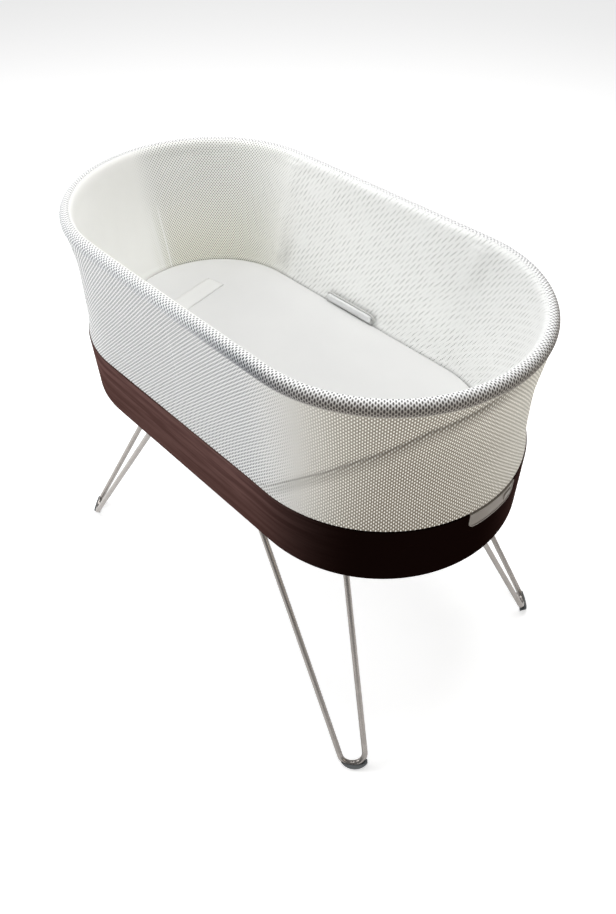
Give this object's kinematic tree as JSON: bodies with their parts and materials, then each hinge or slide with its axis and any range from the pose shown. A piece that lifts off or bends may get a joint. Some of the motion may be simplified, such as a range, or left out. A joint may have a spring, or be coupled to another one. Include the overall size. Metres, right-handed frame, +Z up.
{
  "type": "bassinet on stand",
  "caption": "Oval bassinet with mesh walls on a wood band and splayed hairpin legs; its mattress platform swings on a central pivot.",
  "frame": {"origin": "on the floor under the middle of the basket", "axes": "+X to the foot end with the control strip, +Y to the far long side, +Z up"},
  "size_m": [0.9138, 0.5452, 0.79],
  "materials": {
    "walnut": "bent walnut veneer, satin lacquer",
    "mesh_white": "open knitted mesh, white yarn",
    "liner_white": "fine knitted mesh, off-white",
    "foam_grey": "dark grey foam",
    "mattress_cloth": "smooth light grey-white cloth",
    "strap_white": "woven white strap",
    "steel_grey": "grey powder coat",
    "zinc": "zinc plate",
    "nickel": "satin nickel",
    "cast_alloy": "cast, as moulded",
    "boot_rubber": "dark grey rubber",
    "white_plastic": "white moulded plastic",
    "grey_plastic": "grey moulded plastic",
    "fascia_plastic": "warm grey moulded plastic",
    "bush_plastic": "natural nylon",
    "black_plastic": "black moulded plastic",
    "board_green": "circuit board",
    "cone_paper": "speaker paper"
  },
  "bodies": {
    "basket": {"wood_band": "walnut", "floor_pan": "steel_grey", "band_screws": "zinc", "pan_screws": "zinc", "rim_hoop": "zinc", "rim_posts": "zinc", "rim_foam": "foam_grey", "outer_mesh": "mesh_white", "inner_liner": "liner_white", "mesh_ring": "grey_plastic", "pivot_post": "zinc", "pivot_cap": "zinc", "motor": "black_plastic", "motor_bracket": "zinc", "roller_brackets": "zinc", "roller_axles": "zinc", "control_fascia": "fascia_plastic", "control_board": "board_green", "main_board": "board_green", "board_posts": "zinc", "power_inlet": "black_plastic", "speaker": "black_plastic", "speaker_cone": "cone_paper", "leg_socket_head_near": "cast_alloy", "leg_socket_head_far": "cast_alloy", "leg_socket_foot_near": "cast_alloy", "leg_socket_foot_far": "cast_alloy"},
    "platform": {"platform_hub": "cast_alloy", "hub_bushes": "bush_plastic", "mattress_tray": "grey_plastic", "tray_screws": "zinc", "track_ring": "zinc", "sector_gear": "bush_plastic", "mattress": "mattress_cloth", "mattress_strap": "strap_white", "liner_skirt": "liner_white", "clip_frame_near": "grey_plastic", "clip_frame_far": "grey_plastic", "clip_pins": "zinc"},
    "pinion": {"drive_pinion": "zinc"},
    "clip_near": {"clip_bar_near": "white_plastic"},
    "clip_far": {"clip_bar_far": "white_plastic"},
    "button": {"power_button": "fascia_plastic"},
    "leg_head_near": {"hairpin_leg_head_near": "nickel", "foot_boot_head_near": "boot_rubber"},
    "latch_head_near": {"leg_latch_head_near": "black_plastic"},
    "roller_head_near": {"roller_head_near": "bush_plastic"},
    "leg_head_far": {"hairpin_leg_head_far": "nickel", "foot_boot_head_far": "boot_rubber"},
    "latch_head_far": {"leg_latch_head_far": "black_plastic"},
    "roller_head_far": {"roller_head_far": "bush_plastic"},
    "leg_foot_near": {"hairpin_leg_foot_near": "nickel", "foot_boot_foot_near": "boot_rubber"},
    "latch_foot_near": {"leg_latch_foot_near": "black_plastic"},
    "roller_foot_near": {"roller_foot_near": "bush_plastic"},
    "leg_foot_far": {"hairpin_leg_foot_far": "nickel", "foot_boot_foot_far": "boot_rubber"},
    "latch_foot_far": {"leg_latch_foot_far": "black_plastic"},
    "roller_foot_far": {"roller_foot_far": "bush_plastic"}
  },
  "joints": [
    {"name": "platform_swing", "type": "hinge", "parent": "basket", "child": "platform", "pos_m": [0, 0, 0.5], "axis": [0, 0, 1], "range_deg": [-3, 3]},
    {"name": "pinion_spin", "type": "hinge", "parent": "basket", "child": "pinion", "pos_m": [-0.1035, 0, 0.5], "axis": [0, 0, 1], "range_deg": [-21, 21]},
    {"name": "clip_near_tip", "type": "hinge", "parent": "platform", "child": "clip_near", "pos_m": [0, -0.1676, 0.5701], "axis": [-1, 0, 0], "range_deg": [0, 12], "stiffness_Nm_per_rad": 0.2, "springref_deg": -5.73},
    {"name": "clip_far_tip", "type": "hinge", "parent": "platform", "child": "clip_far", "pos_m": [0, 0.1676, 0.5701], "axis": [1, 0, 0], "range_deg": [0, 12], "stiffness_Nm_per_rad": 0.2, "springref_deg": -5.73},
    {"name": "button_press", "type": "slide", "parent": "basket", "child": "button", "axis": [-0.9895, -0.1444, 0], "range_m": [0, 0.0012], "stiffness_N_per_m": 500, "springref_m": -0.0005},
    {"name": "roller_head_near_spin", "type": "hinge", "parent": "basket", "child": "roller_head_near", "pos_m": [-0.09899, -0.09899, 0.49645], "axis": [-0.7071, -0.7071, 0], "range_deg": [-34, 34]},
    {"name": "roller_head_far_spin", "type": "hinge", "parent": "basket", "child": "roller_head_far", "pos_m": [-0.09899, 0.09899, 0.49645], "axis": [-0.7071, 0.7071, 0], "range_deg": [-34, 34]},
    {"name": "roller_foot_near_spin", "type": "hinge", "parent": "basket", "child": "roller_foot_near", "pos_m": [0.09899, -0.09899, 0.49645], "axis": [0.7071, -0.7071, 0], "range_deg": [-34, 34]},
    {"name": "roller_foot_far_spin", "type": "hinge", "parent": "basket", "child": "roller_foot_far", "pos_m": [0.09899, 0.09899, 0.49645], "axis": [0.7071, 0.7071, 0], "range_deg": [-34, 34]},
    {"name": "leg_head_near_pull", "type": "slide", "parent": "basket", "child": "leg_head_near", "axis": [0, 0, -1], "range_m": [0, 0.05]},
    {"name": "leg_head_far_pull", "type": "slide", "parent": "basket", "child": "leg_head_far", "axis": [0, 0, -1], "range_m": [0, 0.05]},
    {"name": "leg_foot_near_pull", "type": "slide", "parent": "basket", "child": "leg_foot_near", "axis": [0, 0, -1], "range_m": [0, 0.05]},
    {"name": "leg_foot_far_pull", "type": "slide", "parent": "basket", "child": "leg_foot_far", "axis": [0, 0, -1], "range_m": [0, 0.05]},
    {"name": "latch_head_near_press", "type": "slide", "parent": "basket", "child": "latch_head_near", "axis": [0, 0, 1], "range_m": [0, 0.003], "stiffness_N_per_m": 400, "springref_m": -0.001},
    {"name": "latch_head_far_press", "type": "slide", "parent": "basket", "child": "latch_head_far", "axis": [0, 0, 1], "range_m": [0, 0.003], "stiffness_N_per_m": 400, "springref_m": -0.001},
    {"name": "latch_foot_near_press", "type": "slide", "parent": "basket", "child": "latch_foot_near", "axis": [0, 0, 1], "range_m": [0, 0.003], "stiffness_N_per_m": 400, "springref_m": -0.001},
    {"name": "latch_foot_far_press", "type": "slide", "parent": "basket", "child": "latch_foot_far", "axis": [0, 0, 1], "range_m": [0, 0.003], "stiffness_N_per_m": 400, "springref_m": -0.001}
  ],
  "couplings": [
    {"joint": "pinion_spin", "follows": "platform_swing", "ratio": -6.6667},
    {"joint": "roller_head_near_spin", "follows": "platform_swing", "ratio": -10.769},
    {"joint": "roller_head_far_spin", "follows": "platform_swing", "ratio": -10.769},
    {"joint": "roller_foot_near_spin", "follows": "platform_swing", "ratio": -10.769},
    {"joint": "roller_foot_far_spin", "follows": "platform_swing", "ratio": -10.769}
  ]
}
